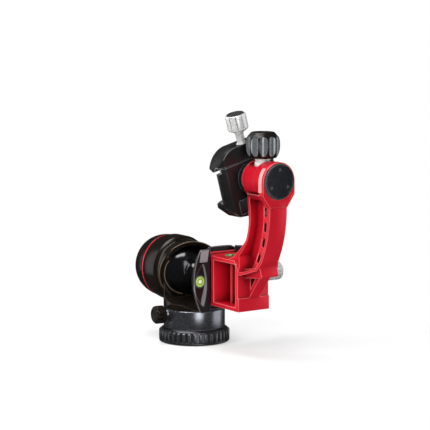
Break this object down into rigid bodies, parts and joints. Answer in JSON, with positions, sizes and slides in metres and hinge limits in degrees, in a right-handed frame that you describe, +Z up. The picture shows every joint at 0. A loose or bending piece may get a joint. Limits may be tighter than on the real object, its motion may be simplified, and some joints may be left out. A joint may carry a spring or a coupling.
{
  "type": "gimbal tripod head",
  "caption": "Side-mount gimbal head: panning base with a sideways ball head, quick-release clamp, open pocketed arm, tilt hub with tension knob, and a leaning lens clamp with a screw jaw.",
  "frame": {"origin": "the pan axis at the base's bottom face, at the mouth of the tripod thread", "axes": "+Z up along the pan axis, +Y the way the lens points, +X outward along the tilt axis from the ball head to the arm"},
  "size_m": [0.2354, 0.1325, 0.26],
  "materials": {
    "gunmetal": "satin anodised",
    "steel": "machined",
    "nylon": "matt",
    "brass": "machined",
    "black_gloss": "gloss anodised",
    "bronze_black": "satin anodised",
    "black_ball": "polished anodised",
    "black_anodised": "satin anodised",
    "black_knob": "satin anodised",
    "red_trim": "satin anodised",
    "red_anodised": "satin anodised",
    "silver": "bright machined",
    "rubber": "matt",
    "level_green": "clear tinted"
  },
  "bodies": {
    "base": {"base_plate": "gunmetal", "grip_ring": "gunmetal", "thread_insert": "steel", "base_screws": "steel", "pan_spindle": "steel", "spindle_nut": "steel", "pan_washer": "nylon"},
    "turret": {"base_drum": "gunmetal", "turret_housing": "black_gloss", "pan_brake_pads": "brass", "front_collar": "bronze_black", "ball_cup": "nylon", "accent_ring": "red_trim"},
    "pan_lock": {"pan_lock_knob": "black_knob", "pan_lock_screw": "steel"},
    "friction": {"friction_knob": "black_knob", "friction_screw": "steel"},
    "ball_lock": {"ball_lock_knob": "black_gloss", "ball_lock_screw": "steel"},
    "ball": {"ball_stem": "black_ball"},
    "arm": {"clamp_base": "black_anodised", "stem_screw": "steel", "clamp_guide_pins": "steel", "clamp_level_dish": "steel", "clamp_level_vial": "level_green", "gimbal_arm": "red_anodised", "stop_screws": "steel", "arm_level_dish": "steel", "arm_level_vial": "level_green", "inner_bush": "nylon", "outer_bush": "nylon", "hub_cap": "black_anodised", "cap_screws": "steel", "brake_shoe": "brass"},
    "clamp_slider": {"clamp_jaw": "black_anodised"},
    "clamp_turner": {"clamp_knob": "silver", "clamp_screw": "steel"},
    "tension": {"tension_knob": "black_knob", "tension_collar": "silver", "tension_screw": "steel"},
    "lens_clamp": {"tilt_shaft": "black_anodised", "shaft_clip": "steel", "lens_clamp_body": "black_anodised", "flange_screws": "steel", "lens_guide_pins": "steel"},
    "lens_slider": {"lens_jaw": "black_anodised"},
    "lens_turner": {"lens_knob": "silver", "lens_knob_cap": "rubber", "lens_clamp_screw": "steel"}
  },
  "joints": [
    {"name": "pan", "type": "hinge", "parent": "base", "child": "turret", "pos_m": [0, 0, 0.0166], "axis": [0, 0, 1], "continuous": true},
    {"name": "pan_lock_turn", "type": "hinge", "parent": "turret", "child": "pan_lock", "pos_m": [-0.00439, -0.03573, 0.0316], "axis": [-0.1219, -0.9925, 0], "range_deg": [-30, 360]},
    {"name": "friction_turn", "type": "hinge", "parent": "turret", "child": "friction", "pos_m": [-0.0169, 0.03179, 0.0316], "axis": [-0.4695, 0.8829, 0], "range_deg": [-30, 360]},
    {"name": "ball_lock_turn", "type": "hinge", "parent": "turret", "child": "ball_lock", "pos_m": [-0.052, 0, 0.076], "axis": [-1, 0, 0], "range_deg": [-60, 180]},
    {"name": "ball_swing", "type": "hinge", "parent": "turret", "child": "ball", "pos_m": [-0.021, 0, 0.076], "axis": [0, -1, 0], "range_deg": [-2, 20]},
    {"name": "stem_roll", "type": "hinge", "parent": "ball", "child": "arm", "pos_m": [0.026, 0, 0.076], "axis": [1, 0, 0], "range_deg": [-30, 90]},
    {"name": "clamp_jaw_slide", "type": "slide", "parent": "arm", "child": "clamp_slider", "axis": [0, 1, 0], "range_m": [0, 0.004]},
    {"name": "clamp_knob_turn", "type": "hinge", "parent": "clamp_slider", "child": "clamp_turner", "pos_m": [0.0445, 0.0423, 0.0755], "axis": [0, 1, 0], "range_deg": [0, 961]},
    {"name": "tension_turn", "type": "hinge", "parent": "arm", "child": "tension", "pos_m": [0.126, 0, 0.2037], "axis": [0, 0, 1], "range_deg": [-30, 360]},
    {"name": "tilt", "type": "hinge", "parent": "arm", "child": "lens_clamp", "pos_m": [0.125, 0, 0.19], "axis": [1, 0, 0], "range_deg": [-110, 110]},
    {"name": "lens_jaw_slide", "type": "slide", "parent": "lens_clamp", "child": "lens_slider", "axis": [0, -0.2588, 0.9659], "range_m": [0, 0.005]},
    {"name": "lens_knob_turn", "type": "hinge", "parent": "lens_slider", "child": "lens_turner", "pos_m": [0.1016, -0.01035, 0.22864], "axis": [0, -0.2588, 0.9659], "range_deg": [0, 1201]}
  ],
  "couplings": [
    {"joint": "clamp_knob_turn", "follows": "clamp_jaw_slide", "rad_per_m": 4188.8},
    {"joint": "lens_knob_turn", "follows": "lens_jaw_slide", "rad_per_m": 4188.8}
  ]
}
